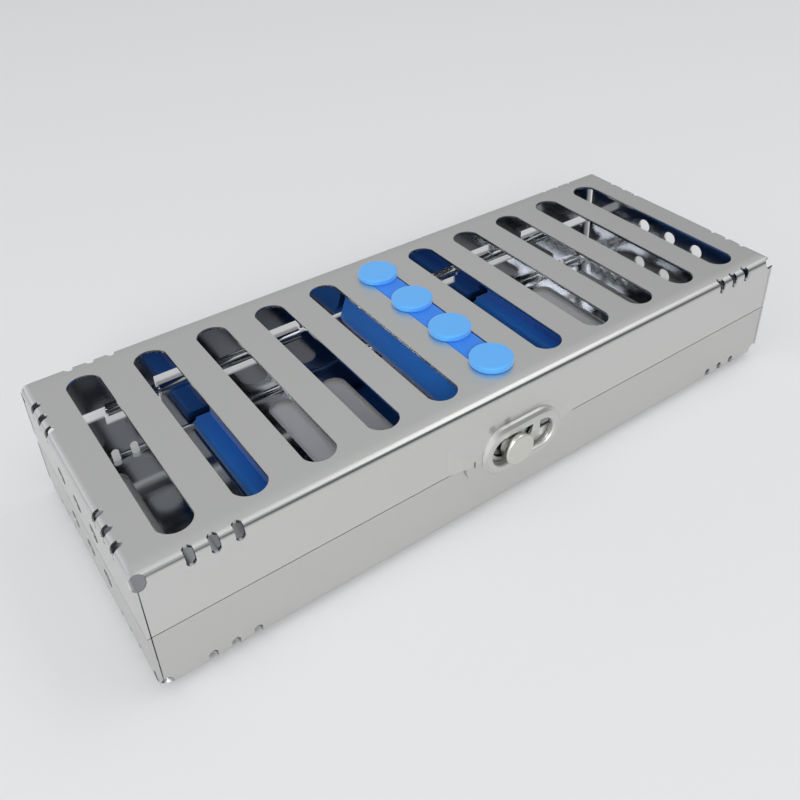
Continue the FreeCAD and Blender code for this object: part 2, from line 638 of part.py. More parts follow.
# Hold-down: a bar along the middle slot, wider towards its underside, that stops short of the latch
BAR_FRONT = "(width/2 - sheet - slider_clear - slider_sheet - spring_room - guide_sheet - bar_clear)"
lid_holddown = new_body("lid_holddown")
bar = sketch_on(lid_holddown, "bar_sketch", "XZ_Plane", BAR_FRONT)
lid_inside = "(%s - sheet)" % LID_TOP
outline(bar, [
    ("-bar_tip/2", "foot_height + bar_bottom_level"),
    ("bar_tip/2", "foot_height + bar_bottom_level"),
    ("bar_shoulder/2", "foot_height + bar_shoulder_level"),
    ("bar_waist/2", "foot_height + bar_waist_level"),
    ("bar_waist/2", lid_inside),
    ("-bar_waist/2", lid_inside),
    ("-bar_waist/2", "foot_height + bar_waist_level"),
    ("-bar_shoulder/2", "foot_height + bar_shoulder_level"),
])
block = pad(lid_holddown, "bar", bar, "%s + %s" % (BAR_FRONT, SILICONE_LIFT), False)
shoulder = number("foot_height + bar_shoulder_level")
round_edges(lid_holddown, "bar_rounds", block,
            lambda e: e.Length > number("width/2") and e.BoundBox.ZMax < shoulder + 1e-4, "bar_round")
snap_buttons(lid_holddown, "0", lid_inside, True, "lid_button")


def rail(name, side):
    """A silicone rail on the tray's floor, with a notched fin that keeps the instruments apart."""
    body = new_body(name)
    middle = "(%s*rail_slot*vent_pitch)" % side
    floor = "(foot_height + sheet)"
    foot = sketch_on(body, name + "_foot_sketch", "XZ_Plane", SILICONE_LIFT)
    rectangle(foot, "%s - rail_width/2" % middle, "%s + rail_width/2" % middle, floor, "%s + rail_height" % floor)
    base = pad(body, name + "_foot", foot, SILICONE_LENGTH, False)
    crown = number("%s + rail_height" % floor)
    round_edges(body, name + "_foot_rounds", base,
                lambda e: e.Length > number("width/2") and flat_at(e, crown), "rail_round")
    fin = sketch_on(body, name + "_fin_sketch", "XZ_Plane", SILICONE_LIFT)
    rectangle(fin, "%s - fin_width/2" % middle, "%s + fin_width/2" % middle,
              "%s + rail_height/2" % floor, "%s + fin_height" % floor)
    pad(body, name + "_fin", fin, SILICONE_LENGTH, False)
    place = sketch_on(body, name + "_place_sketch", "YZ_Plane", "%s - fin_width/2 - 1" % middle)
    start = "(-(place_count - 1)/2*place_pitch)"
    top = "(%s + fin_height)" % floor
    outline(place, [
        ("%s - place_width/3" % start, "%s - place_depth/2" % top, "place_depth/2"),
        ("%s + place_width/3" % start, "%s - place_depth/2" % top),
        ("%s + place_width/2" % start, "%s + 1" % top),
        ("%s - place_width/2" % start, "%s + 1" % top),
    ])
    gap = pocket(body, name + "_place", place, "fin_width + 2")
    row_of(body, name + "_places", [gap], "Y_Axis", "place_count", "place_pitch")
    snap_buttons(body, middle, floor, False, "foot_height")
    return body


left_rail = rail("left_rail", "-1")
right_rail = rail("right_rail", "1")

# Slider: a plate behind the window, with a leg up into the guide strap and a finger that locks under the keeper
SLIDER_FACE = "(width/2 - sheet - slider_clear)"
latch_slider = new_body("latch_slider")
plate = sketch_on(latch_slider, "slider_sketch", "XZ_Plane", SLIDER_FACE)
low = "(foot_height + slider_bottom)"
shoulder = "(foot_height + tab_top - 2*sheet)"
left = "(-knob_shift - slider_length*5/12)"
right = "(-knob_shift + slider_length*5/12)"
leg = "slider_length/4"
outline(plate, [
    ("%s - hook_length" % left, low),
    (right, low),
    (right, shoulder),
    ("-knob_shift + %s" % leg, shoulder),
    ("-knob_shift + %s" % leg, "foot_height + slider_top"),
    ("-knob_shift - %s" % leg, "foot_height + slider_top"),
    ("-knob_shift - %s" % leg, shoulder),
    (left, shoulder),
    (left, "%s + hook_height" % low),
    ("%s - hook_length" % left, "%s + hook_height" % low),
])
pad(latch_slider, "slider_plate", plate, "slider_sheet", False)
seat = sketch_on(latch_slider, "slider_hole_sketch", "XZ_Plane", SLIDER_FACE)
circle(seat, "-knob_shift", "foot_height + window_middle", "neck_diameter + 2*rivet_clear")
pocket(latch_slider, "slider_hole", seat, "slider_sheet", False)

# Knob: turned in one piece with its neck, which is riveted over behind the slider
latch_knob = new_body("latch_knob")
bind(latch_knob, **{"Placement.Base.x": "-knob_shift", "Placement.Base.z": "foot_height + window_middle"})
turned = sketch_on(latch_knob, "knob_sketch", "XY_Plane")
front = "(-width/2 - knob_reach)"
back = "(-%s + slider_sheet)" % SLIDER_FACE
outline(turned, [
    ("0*sheet", front),
    ("knob_head/2 - knob_chamfer", front),
    ("knob_head/2", "%s + knob_chamfer" % front),
    ("knob_head/2", "%s + head_height" % front),
    ("knob_body/2", "%s + head_height" % front),
    ("knob_body/2", "-width/2 - 2*tab_gap"),
    ("neck_diameter/2", "-width/2 - 2*tab_gap"),
    ("neck_diameter/2", back),
    ("neck_diameter/2 + rivet_lap", back),
    ("neck_diameter/2 + rivet_lap/2", "%s + rivet_lap/2" % back),
    ("0*sheet", "%s + rivet_lap/2" % back),
])
spin = latch_knob.newObject("PartDesign::Revolution", "knob_turning")
spin.Profile = turned
spin.ReferenceAxis = (turned, ["V_Axis"])
spin.Angle = 360
doc.recompute()

# Guide: a hat-shaped strap, its two ends spot welded to the lid's front wall
latch_guide = new_body("latch_guide")
GUIDE_LOW = "(foot_height + tab_top + slider_play)"
strap = sketch_on(latch_guide, "guide_sketch", "XY_Plane", GUIDE_LOW)
wall = "(-width/2 + sheet)"
crown_in = "(%s + slider_clear + slider_sheet + spring_room)" % wall
crown_out = "(%s + guide_sheet)" % crown_in
wing = "(%s + guide_sheet)" % wall
room = "(slider_length/4 + slider_travel + 4*slider_play)"
leg_left = "(-knob_shift - %s)" % room
leg_right = "(-knob_shift + %s)" % room
outline(strap, [
    ("%s - guide_sheet - guide_wing" % leg_left, wall),
    (leg_left, wall),
    (leg_left, crown_in),
    (leg_right, crown_in),
    (leg_right, wall),
    ("%s + guide_sheet + guide_wing" % leg_right, wall),
    ("%s + guide_sheet + guide_wing" % leg_right, wing),
    ("%s + guide_sheet" % leg_right, wing),
    ("%s + guide_sheet" % leg_right, crown_out),
    ("%s - guide_sheet" % leg_left, crown_out),
    ("%s - guide_sheet" % leg_left, wing),
    ("%s - guide_sheet - guide_wing" % leg_left, wing),
])
pad(latch_guide, "guide_strap", strap, "guide_height - 2*slider_play")

# Leaf spring: bowed between the strap and the slider's leg
latch_spring = new_body("latch_spring")
leaf = sketch_on(latch_spring, "spring_sketch", "XY_Plane", "%s + guide_height/2 - spring_height/2" % GUIDE_LOW)
bow = "(spring_room - spring_sheet - slider_play)"
far = "(%s - slider_play/2)" % crown_in
leaf_left = "(-knob_shift - spring_length/2)"
leaf_right = "(-knob_shift + spring_length/2)"
outline(leaf, [
    (leaf_left, "%s - spring_sheet" % far, bow),
    (leaf_right, "%s - spring_sheet" % far),
    (leaf_right, far, "-%s" % bow),
    (leaf_left, far),
])
pad(latch_spring, "spring_leaf", leaf, "spring_height")

# Keeper: an angle, spot welded inside the tray's front wall, that the slider's finger goes under
latch_keeper = new_body("latch_keeper")
KEEPER_END = "(-knob_shift - slider_length*5/12 - hook_length - 6*slider_play)"
angle = sketch_on(latch_keeper, "keeper_sketch", "YZ_Plane", "%s - keeper_length" % KEEPER_END)
under = "(foot_height + slider_bottom + hook_height + slider_play)"
outline(angle, [
    (wall, under),
    ("%s + keeper_reach" % wall, under),
    ("%s + keeper_reach" % wall, "%s + guide_sheet" % under),
    ("%s + guide_sheet" % wall, "%s + guide_sheet" % under),
    ("%s + guide_sheet" % wall, "%s - slider_play" % TRAY_EDGE),
    (wall, "%s - slider_play" % TRAY_EDGE),
])
pad(latch_keeper, "keeper_angle", angle, "keeper_length")

# Every piece is checked, then written as its own file
PIECES = [base_tray, left_hinge_pin, right_hinge_pin, left_rail, right_rail, latch_keeper,
          lid_shell, lid_holddown, latch_guide, latch_spring, latch_slider, latch_knob]
doc.recompute()
for item in doc.Objects:
    if "Invalid" in item.State or "Error" in item.State:
        raise RuntimeError("%s failed: %s" % (item.Name, item.State))
for piece in PIECES:
    if piece.Shape.isNull() or not piece.Shape.isValid() or len(piece.Shape.Solids) != 1:
        raise RuntimeError("%s is not one sound solid" % piece.Label)
os.makedirs("parts", exist_ok=True)
for piece in PIECES:
    piece.Shape.exportStep("parts/%s.step" % piece.Label)
    box = piece.Shape.BoundBox
    print("%-16s %9.1f mm3  x %7.2f %7.2f  y %7.2f %7.2f  z %6.2f %6.2f"
          % (piece.Label, piece.Shape.Volume, box.XMin, box.XMax, box.YMin, box.YMax, box.ZMin, box.ZMax))
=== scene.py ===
import bpy
import bmesh
import math
from mathutils import Matrix, Vector


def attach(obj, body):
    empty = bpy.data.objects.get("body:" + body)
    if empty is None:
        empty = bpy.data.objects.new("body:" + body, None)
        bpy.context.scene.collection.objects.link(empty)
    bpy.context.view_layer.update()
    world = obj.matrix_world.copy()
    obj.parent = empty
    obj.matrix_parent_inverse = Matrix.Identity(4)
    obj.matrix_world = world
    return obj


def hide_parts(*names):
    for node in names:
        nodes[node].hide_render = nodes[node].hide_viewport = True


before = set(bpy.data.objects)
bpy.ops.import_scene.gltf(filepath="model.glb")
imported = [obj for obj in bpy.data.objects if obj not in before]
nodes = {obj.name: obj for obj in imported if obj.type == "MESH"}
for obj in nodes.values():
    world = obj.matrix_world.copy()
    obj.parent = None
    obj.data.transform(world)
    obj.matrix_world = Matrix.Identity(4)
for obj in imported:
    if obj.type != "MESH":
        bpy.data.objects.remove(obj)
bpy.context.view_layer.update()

# The view: the closed cassette from its front left corner, seen from above as it lies on a table.
# The lens is shifted a little off its middle, as in a picture that was cut from a wider one.
EYE = Vector((-0.1192, -0.1666, 0.1757))
SIGHT = Vector((0.4877, 0.6780, -0.5500))
ROLL = math.radians(-1.15)
camera_data = bpy.data.cameras.new("camera")
camera_data.sensor_width = 36.0
camera_data.lens = 40.44
camera_data.shift_x = -0.0401
camera_data.shift_y = -0.1224
camera_data.clip_start = 0.01
camera = bpy.data.objects.new("camera", camera_data)
bpy.context.scene.collection.objects.link(camera)
turn_to_sight = SIGHT.to_track_quat("-Z", "Y").to_matrix() @ Matrix.Rotation(ROLL, 3, "Z")
camera.matrix_world = Matrix.Translation(EYE) @ turn_to_sight.to_4x4()
bpy.context.scene.camera = camera
bpy.context.scene.view_settings.view_transform = "Standard"


# Table and room: a pale matt painted table in a pale room. A softbox beside the camera lights what the camera
# sees, also through the slots. A strip softbox above draws the white band along the folds, a dark doorway low in
# front the thin dark line under that band, and a window on the left fills the shadow there.
def linear(code):
    """A colour as it is written on screen, turned to the linear values that light works in."""
    parts = [int(code[i:i + 2], 16) / 255 for i in (1, 3, 5)]
    return tuple(p / 12.92 if p <= 0.04045 else ((p + 0.055) / 1.055) ** 2.4 for p in parts) + (1.0,)


def add_node(owner, kind, inputs=None, **settings):
    """One shader node with its settings, its numbers and its links."""
    node = owner.node_tree.nodes.new(kind)
    for name, value in settings.items():
        setattr(node, name, value)
    for socket, value in (inputs or {}).items():
        if isinstance(value, bpy.types.NodeSocket):
            owner.node_tree.links.new(value, node.inputs[socket])
        else:
            node.inputs[socket].default_value = value
    return node


def new_material(name):
    """An empty node material, named for what it is made of."""
    material = bpy.data.materials.new(name)
    material.use_nodes = True
    material.node_tree.nodes.clear()
    return material


# Sprayed paint dries with a slight orange peel, which keeps the table from looking perfectly flat.
PAINT_COLOUR = "#DCDCDD"
PAINT_GRAIN = 1.5e-3
PEEL_HEIGHT = 1e-4
table_paint = new_material("matt_table_paint")
table_place = add_node(table_paint, "ShaderNodeTexCoord")
orange_peel = add_node(table_paint, "ShaderNodeTexNoise",
                       {"Vector": table_place.outputs["Object"], "Scale": 1 / PAINT_GRAIN, "Detail": 2.0})
peel_bump = add_node(table_paint, "ShaderNodeBump",
                     {"Height": orange_peel.outputs["Fac"], "Strength": 0.05, "Distance": PEEL_HEIGHT})
paint_shader = add_node(table_paint, "ShaderNodeBsdfPrincipled", {
    "Base Color": linear(PAINT_COLOUR), "Roughness": 0.7, "Normal": peel_bump.outputs["Normal"]})
add_node(table_paint, "ShaderNodeOutputMaterial", {"Surface": paint_shader.outputs["BSDF"]})
TABLE_HALF = 3.0
table_mesh = bpy.data.meshes.new("table_top")
table_mesh.from_pydata([(-TABLE_HALF, -TABLE_HALF, 0), (TABLE_HALF, -TABLE_HALF, 0),
                        (TABLE_HALF, TABLE_HALF, 0), (-TABLE_HALF, TABLE_HALF, 0)], [], [(0, 1, 2, 3)])
table_mesh.materials.append(table_paint)
table_top = bpy.data.objects.new("table_top", table_mesh)
bpy.context.scene.collection.objects.link(table_top)

ROOM_COLOUR = "#FBFDFF"
CEILING_WAY = (0.2, -0.55, 0.81)
DOORWAY_WAY = (0.4877, -0.873, 0.0)
WINDOW_LIGHT = 1.15
LOW_WALL_LIGHT = 0.53
HIGH_WALL_LIGHT = 0.59
CEILING_LIGHT = 0.74
RIGHT_WALL_SHARE = 0.66
DOORWAY_SHARE = 0.25
BACKGROUND_LIGHT = 0.66
room = bpy.data.worlds.new("pale_room")
bpy.context.scene.world = room
room.use_nodes = True
room.node_tree.nodes.clear()
room_way = add_node(room, "ShaderNodeTexCoord")
room_sides = add_node(room, "ShaderNodeSeparateXYZ", {"Vector": room_way.outputs["Generated"]})
left_window = add_node(room, "ShaderNodeMapRange", {
    "Value": room_sides.outputs["X"], "From Min": -0.5, "From Max": 0.1,
    "To Min": WINDOW_LIGHT, "To Max": LOW_WALL_LIGHT}, interpolation_type="SMOOTHSTEP")
wall_light = add_node(room, "ShaderNodeMapRange", {
    "Value": room_sides.outputs["Z"], "From Min": 0.25, "From Max": 0.6,
    "To Min": left_window.outputs["Result"], "To Max": HIGH_WALL_LIGHT}, interpolation_type="SMOOTHSTEP")
to_ceiling = add_node(room, "ShaderNodeVectorMath", {
    0: room_way.outputs["Generated"], 1: CEILING_WAY}, operation="DOT_PRODUCT")
ceiling_share = add_node(room, "ShaderNodeMapRange", {
    "Value": to_ceiling.outputs["Value"], "From Min": 0.25, "From Max": 0.65, "To Min": 0.0, "To Max": 1.0},
    interpolation_type="SMOOTHSTEP")
right_wall = add_node(room, "ShaderNodeMapRange", {
    "Value": room_sides.outputs["X"], "From Min": 0.5, "From Max": 0.8,
    "To Min": 1.0, "To Max": RIGHT_WALL_SHARE}, interpolation_type="SMOOTHSTEP")
shaded_wall = add_node(room, "ShaderNodeMath", {
    0: wall_light.outputs["Result"], 1: right_wall.outputs["Result"]}, operation="MULTIPLY")
room_light = add_node(room, "ShaderNodeMix", {
    "Factor": ceiling_share.outputs["Result"], "A": shaded_wall.outputs[0], "B": CEILING_LIGHT})
to_doorway = add_node(room, "ShaderNodeVectorMath", {
    0: room_way.outputs["Generated"], 1: DOORWAY_WAY}, operation="DOT_PRODUCT")
doorway = add_node(room, "ShaderNodeMapRange", {
    "Value": to_doorway.outputs["Value"], "From Min": 0.82, "From Max": 0.94,
    "To Min": 1.0, "To Max": DOORWAY_SHARE}, interpolation_type="SMOOTHSTEP")
room_strength = add_node(room, "ShaderNodeMath", {
    0: room_light.outputs[0], 1: doorway.outputs["Result"]}, operation="MULTIPLY")
ray_kind = add_node(room, "ShaderNodeLightPath")
shown_strength = add_node(room, "ShaderNodeMix", {
    "Factor": ray_kind.outputs["Is Camera Ray"], "A": room_strength.outputs[0], "B": BACKGROUND_LIGHT})
room_wall = add_node(room, "ShaderNodeBackground", {
    "Color": linear(ROOM_COLOUR), "Strength": shown_strength.outputs[0]})
add_node(room, "ShaderNodeOutputWorld", {"Surface": room_wall.outputs["Background"]})


def softbox(name, way, distance, width, length, power):
    """A lamp with a flat diffuser, which hangs that way from the cassette and faces it."""
    data = bpy.data.lights.new(name, "AREA")
    data.shape = "RECTANGLE"
    data.size = width
    data.size_y = length
    data.energy = power
    lamp = bpy.data.objects.new(name, data)
    bpy.context.scene.collection.objects.link(lamp)
    down = -Vector(way).normalized()
    side = Vector((0, 1, 0)).cross(down).normalized()
    turn = Matrix((side, down.cross(side), -down)).transposed()
    lamp.matrix_world = Matrix.Translation(down * -distance) @ turn.to_4x4()


softbox("strip_softbox", (0.4877, -0.285, 0.824), distance=1.5, width=0.5, length=1.5, power=3.0)
softbox("camera_softbox", -SIGHT, distance=2.2, width=0.9, length=0.9, power=26.0)

# Tray and lid: each one stainless sheet, punched, folded up and left bare. The rolled finish is satin and a little
# warm outside and smoother inside, where it mirrors. The tray's outside is painted a shade darker and the inside
# darker still, both painted shade, and two soft dark spots are painted above the latch.
MM = 0.001
SHEET_COLOUR = "#D2D2CF"
TRAY_SHADED_COLOUR = "#CBCBC8"
INSIDE_SHADED_COLOUR = "#A9ABAE"
DARK_SPOT_COLOUR = "#9E9F9B"
BOX_MIDDLE = 19.0 * MM
SKIN_START = Vector((99.6, 38.1, 17.1)) * MM
SKIN_BLUR = 0.2 * MM
# Rolling lines lie too close together to show, so they are drawn 0.35 mm apart.
ROLLING_LINE = 0.35 * MM
ROLLING_RUN = 18 * MM
LINE_DEPTH = 0.05 * MM
SHEET_WAVE = 28 * MM
WAVE_DEPTH = 0.4 * MM
DARK_SPOTS = ((-9.5, -39.0, 27.0), (-4.6, -39.0, 27.3))
DARK_SPOT_CORE = 0.3 * MM
DARK_SPOT_SIZE = 1.6 * MM
DARK_SPOT_DEPTH_SHARE = 0.1
PARTING = 19.0 * MM
PARTING_BLUR = 0.1 * MM
FOLD_START = 36.5 * MM
FOLD_DRAW = 3.2 * MM
FOLD_DROP = 0.22 * MM
satin_sheet = new_material("satin_stainless_sheet")
sheet_place = add_node(satin_sheet, "ShaderNodeTexCoord")
rolled = add_node(satin_sheet, "ShaderNodeMapping", {
    "Vector": sheet_place.outputs["Object"],
    "Scale": (1 / ROLLING_RUN, 1 / ROLLING_LINE, 1 / ROLLING_LINE)})
rolling_lines = add_node(satin_sheet, "ShaderNodeTexNoise",
                         {"Vector": rolled.outputs["Vector"], "Scale": 1.0, "Detail": 2.0})
sheet_wave = add_node(satin_sheet, "ShaderNodeTexNoise",
                      {"Vector": sheet_place.outputs["Object"], "Scale": 1 / SHEET_WAVE, "Detail": 1.0})
wave_bump = add_node(satin_sheet, "ShaderNodeBump",
                     {"Height": sheet_wave.outputs["Fac"], "Strength": 0.25, "Distance": WAVE_DEPTH})
line_bump = add_node(satin_sheet, "ShaderNodeBump", {
    "Height": rolling_lines.outputs["Fac"], "Strength": 0.05, "Distance": LINE_DEPTH,
    "Normal": wave_bump.outputs["Normal"]})

# The plate is drawn down a little beside each long fold, so the bright band fades out over the plate.
across_sheet = add_node(satin_sheet, "ShaderNodeSeparateXYZ", {"Vector": sheet_place.outputs["Object"]})
from_centre_line = add_node(satin_sheet, "ShaderNodeMath", {0: across_sheet.outputs["Y"]}, operation="ABSOLUTE")
near_fold = add_node(satin_sheet, "ShaderNodeMapRange", {
    "Value": from_centre_line.outputs[0], "From Min": FOLD_START - FOLD_DRAW, "From Max": FOLD_START,
    "To Min": 0.0, "To Max": 1.0}, clamp=False)
draw_in = add_node(satin_sheet, "ShaderNodeMath", {0: near_fold.outputs["Result"], 1: 0.0}, operation="MAXIMUM")
drawn_down = add_node(satin_sheet, "ShaderNodeMath", {0: draw_in.outputs[0], 1: 2.0}, operation="POWER")
fold_bump = add_node(satin_sheet, "ShaderNodeBump", {
    "Height": drawn_down.outputs[0], "Strength": 1.0, "Distance": FOLD_DROP,
    "Normal": line_bump.outputs["Normal"]}, invert=True)

# How near a point lies to the box's outer faces tells the satin outside from the smooth inside.
from_middle = add_node(satin_sheet, "ShaderNodeVectorMath",
                       {0: sheet_place.outputs["Object"], 1: (0, 0, BOX_MIDDLE)}, operation="SUBTRACT")
to_both_sides = add_node(satin_sheet, "ShaderNodeVectorMath", {0: from_middle.outputs[0]}, operation="ABSOLUTE")
past_face = add_node(satin_sheet, "ShaderNodeVectorMath", {
    0: to_both_sides.outputs[0], 1: SKIN_START}, operation="SUBTRACT")
past_each = add_node(satin_sheet, "ShaderNodeSeparateXYZ", {"Vector": past_face.outputs[0]})
past_walls = add_node(satin_sheet, "ShaderNodeMath",
                      {0: past_each.outputs["X"], 1: past_each.outputs["Y"]}, operation="MAXIMUM")
past_any = add_node(satin_sheet, "ShaderNodeMath",
                    {0: past_walls.outputs[0], 1: past_each.outputs["Z"]}, operation="MAXIMUM")
outside = add_node(satin_sheet, "ShaderNodeMapRange", {
    "Value": past_any.outputs[0], "From Min": -SKIN_BLUR, "From Max": SKIN_BLUR, "To Min": 0.0, "To Max": 1.0})

# The rolling lines change the gloss a little from place to place.
satin = add_node(satin_sheet, "ShaderNodeMapRange", {
    "Value": rolling_lines.outputs["Fac"], "From Min": 0.0, "From Max": 1.0, "To Min": 0.32, "To Max": 0.40})
bright = add_node(satin_sheet, "ShaderNodeMapRange", {
    "Value": rolling_lines.outputs["Fac"], "From Min": 0.0, "From Max": 1.0, "To Min": 0.07, "To Max": 0.13})
gloss = add_node(satin_sheet, "ShaderNodeMix", {
    "Factor": outside.outputs["Result"], "A": bright.outputs["Result"], "B": satin.outputs["Result"]})
above_parting = add_node(satin_sheet, "ShaderNodeMapRange", {
    "Value": across_sheet.outputs["Z"], "From Min": PARTING - PARTING_BLUR,
    "From Max": PARTING + PARTING_BLUR, "To Min": 0.0, "To Max": 1.0})
# Below the parting the tray's outside is painted a shade darker: painted shade for the darker floor it reflects.
outside_tone_and_tray_shade = add_node(satin_sheet, "ShaderNodeMix", {
    "Factor": above_parting.outputs["Result"], 6: linear(TRAY_SHADED_COLOUR), 7: linear(SHEET_COLOUR)},
    data_type="RGBA")
# Inside the box the sheet is painted darker: painted shade for the closed box.
bare_tone_and_shade = add_node(satin_sheet, "ShaderNodeMix", {
    "Factor": outside.outputs["Result"], 6: linear(INSIDE_SHADED_COLOUR), 7: outside_tone_and_tray_shade.outputs[2]},
    data_type="RGBA")


def with_dark_spots(material, place, colour):
    """A colour with two painted soft dark spots, which lie on the front wall and on the rim alike."""
    depth_share = (1, DARK_SPOT_DEPTH_SHARE, 1)
    on_front = add_node(material, "ShaderNodeVectorMath", {0: place, 1: depth_share}, operation="MULTIPLY")
    for x, y, z in DARK_SPOTS:
        to_dark_spot = add_node(material, "ShaderNodeVectorMath", {
            0: on_front.outputs[0], 1: Vector((x, y * DARK_SPOT_DEPTH_SHARE, z)) * MM}, operation="DISTANCE")
        dark_spot_share = add_node(material, "ShaderNodeMapRange", {
            "Value": to_dark_spot.outputs["Value"], "From Min": DARK_SPOT_CORE, "From Max": DARK_SPOT_SIZE,
            "To Min": 0.8, "To Max": 0.0}, interpolation_type="SMOOTHSTEP")
        tinted = add_node(material, "ShaderNodeMix", {
            "Factor": dark_spot_share.outputs["Result"], 6: colour, 7: linear(DARK_SPOT_COLOUR)}, data_type="RGBA")
        colour = tinted.outputs[2]
    return colour


sheet_tone_and_shade = with_dark_spots(satin_sheet, sheet_place.outputs["Object"], bare_tone_and_shade.outputs[2])
sheet_shader = add_node(satin_sheet, "ShaderNodeBsdfPrincipled", {
    "Base Color": sheet_tone_and_shade, "Metallic": 1.0, "Roughness": gloss.outputs[0],
    "Normal": fold_bump.outputs["Normal"]})
add_node(satin_sheet, "ShaderNodeOutputMaterial", {"Surface": sheet_shader.outputs["BSDF"]})


def finish_with(material, names):
    """Gives solids from the frame their real finish."""
    for name in names:
        for i in range(len(nodes[name].material_slots)):
            nodes[name].material_slots[i].material = material


finish_with(satin_sheet, ["base_tray", "lid_shell"])

# Latch window's rim: the lid's sheet is pressed outwards round the window and turned over, so that it stands
# as a smooth bead about 1 mm above the tab. It is a little rougher than the sheet, and its skirt runs out into
# the tab, and above the tab into the wall.
def placed(name, form, material, body):
    """A finished piece: its form as a smooth mesh, its material, and the body that it moves with."""
    bmesh.ops.recalc_face_normals(form, faces=form.faces)
    mesh = bpy.data.meshes.new(name)
    form.to_mesh(mesh)
    form.free()
    mesh.shade_smooth()
    mesh.materials.append(material)
    piece = bpy.data.objects.new(name, mesh)
    bpy.context.scene.collection.objects.link(piece)
    weighted = piece.modifiers.new("even_flats", "WEIGHTED_NORMAL")
    weighted.keep_sharp = False
    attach(piece, body)
    return piece


# The grain of a pressed surface is too fine to show, so it is drawn at 0.6 mm.
PRESS_GRAIN = 0.6 * MM
pressed_rim = new_material("pressed_stainless_rim")
rim_place = add_node(pressed_rim, "ShaderNodeTexCoord")
press_grain = add_node(pressed_rim, "ShaderNodeTexNoise",
                       {"Vector": rim_place.outputs["Object"], "Scale": 1 / PRESS_GRAIN, "Detail": 2.0})
press_gloss = add_node(pressed_rim, "ShaderNodeMapRange", {
    "Value": press_grain.outputs["Fac"], "From Min": 0.0, "From Max": 1.0, "To Min": 0.40, "To Max": 0.50})
# The rim carries the same two painted soft dark spots as the wall.
rim_colour = with_dark_spots(pressed_rim, rim_place.outputs["Object"], linear(SHEET_COLOUR))
rim_shader = add_node(pressed_rim, "ShaderNodeBsdfPrincipled", {
    "Base Color": rim_colour, "Metallic": 1.0, "Roughness": press_gloss.outputs["Result"]})
add_node(pressed_rim, "ShaderNodeOutputMaterial", {"Surface": rim_shader.outputs["BSDF"]})
WINDOW_MIDDLE = (-0.2, 19.0)
WINDOW_STRAIGHT = 5.85
WALL_FACE = 38.5
TAB_FACE = 39.4
JOGGLE_FOOT = 27.1
JOGGLE_HEAD = 22.1
BEAD_INNER = 4.2
BEAD_CREST = (4.95, 5.75)
BEAD_RISE = 0.98
BEAD_LIP = 0.1
BEAD_BACK = -0.9
SKIRT = 7.0
SKIRT_ABOVE = 0.6
SKIRT_SUNK = 0.02
SKIRT_EDGE = 0.2
END_STEPS = 24
CREST_STEPS = 8
SKIRT_STEPS = 12
rim_form = bmesh.new()
rim_rings = []
for side in (1, -1):
    for i in range(END_STEPS + 1):
        t = math.pi * i / END_STEPS - math.pi / 2
        out = Vector((side * math.cos(t), side * math.sin(t)))
        middle = Vector(WINDOW_MIDDLE) + Vector((side * WINDOW_STRAIGHT, 0))
        foot = SKIRT + SKIRT_ABOVE * max(0.0, out.y)
        slope = (middle.y + foot * out.y - JOGGLE_HEAD) / (JOGGLE_FOOT - JOGGLE_HEAD)
        ground = (WALL_FACE - TAB_FACE) * min(1.0, max(0.0, slope)) - SKIRT_SUNK
        section = [(BEAD_INNER, BEAD_BACK)]
        for k in range(CREST_STEPS + 1):
            turn = math.pi / 2 * k / CREST_STEPS
            section.append((BEAD_CREST[0] - (BEAD_CREST[0] - BEAD_INNER) * math.cos(turn),
                            BEAD_LIP + (BEAD_RISE - BEAD_LIP) * math.sin(turn)))
        for k in range(SKIRT_STEPS + 1):
            part = k / SKIRT_STEPS
            ease = 1 - part * part * (3 - 2 * part)
            section.append((BEAD_CREST[1] + (foot - BEAD_CREST[1]) * part, ground + (BEAD_RISE - ground) * ease))
        section.append((foot, ground - SKIRT_EDGE))
        ring = []
        for radius, rise in section:
            across = middle + out * radius
            ring.append(rim_form.verts.new(Vector((across.x, -(TAB_FACE + rise), across.y)) * MM))
        rim_rings.append(ring)
for here, following in zip(rim_rings, rim_rings[1:] + rim_rings[:1]):
    for i in range(len(here)):
        j = (i + 1) % len(here)
        rim_form.faces.new((here[i], here[j], following[j], following[i]))
placed("latch_window_rim", rim_form, pressed_rim, "lid")

# Hinge pins: two lengths of drawn stainless rod, ground smooth, which the knuckles of tray and lid are curled
# round. The die's fine lines, drawn coarser at 0.2 mm, give them a silky shine along their length.
ROD_COLOUR = "#CFCFCE"
DRAW_LINE = 0.2 * MM
DRAW_RUN = 6 * MM
drawn_rod = new_material("drawn_stainless_rod")
rod_place = add_node(drawn_rod, "ShaderNodeTexCoord")
drawn = add_node(drawn_rod, "ShaderNodeMapping", {
    "Vector": rod_place.outputs["Object"], "Scale": (1 / DRAW_RUN, 1 / DRAW_LINE, 1 / DRAW_LINE)})
draw_lines = add_node(drawn_rod, "ShaderNodeTexNoise", {"Vector": drawn.outputs["Vector"], "Scale": 1.0})
rod_gloss = add_node(drawn_rod, "ShaderNodeMapRange", {
    "Value": draw_lines.outputs["Fac"], "From Min": 0.0, "From Max": 1.0, "To Min": 0.12, "To Max": 0.26})
rod_shader = add_node(drawn_rod, "ShaderNodeBsdfPrincipled", {
    "Base Color": linear(ROD_COLOUR), "Metallic": 1.0, "Roughness": rod_gloss.outputs["Result"]})
add_node(drawn_rod, "ShaderNodeOutputMaterial", {"Surface": rod_shader.outputs["BSDF"]})
finish_with(drawn_rod, ["left_hinge_pin", "right_hinge_pin"])

# Silicone: blue rubber, coloured through and moulded in a blasted steel mould, which leaves it soft and even
# with a dull sheen. Out past the sheet it is painted paler, a painted highlight, and inside the box a deeper blue,
# a painted shade. The buttons look paler than the rest, perhaps because they were pulled through the slots.
SHADED_SILICONE_COLOUR = "#0C76DA"
LIT_BUTTON_COLOUR = "#50A3E8"
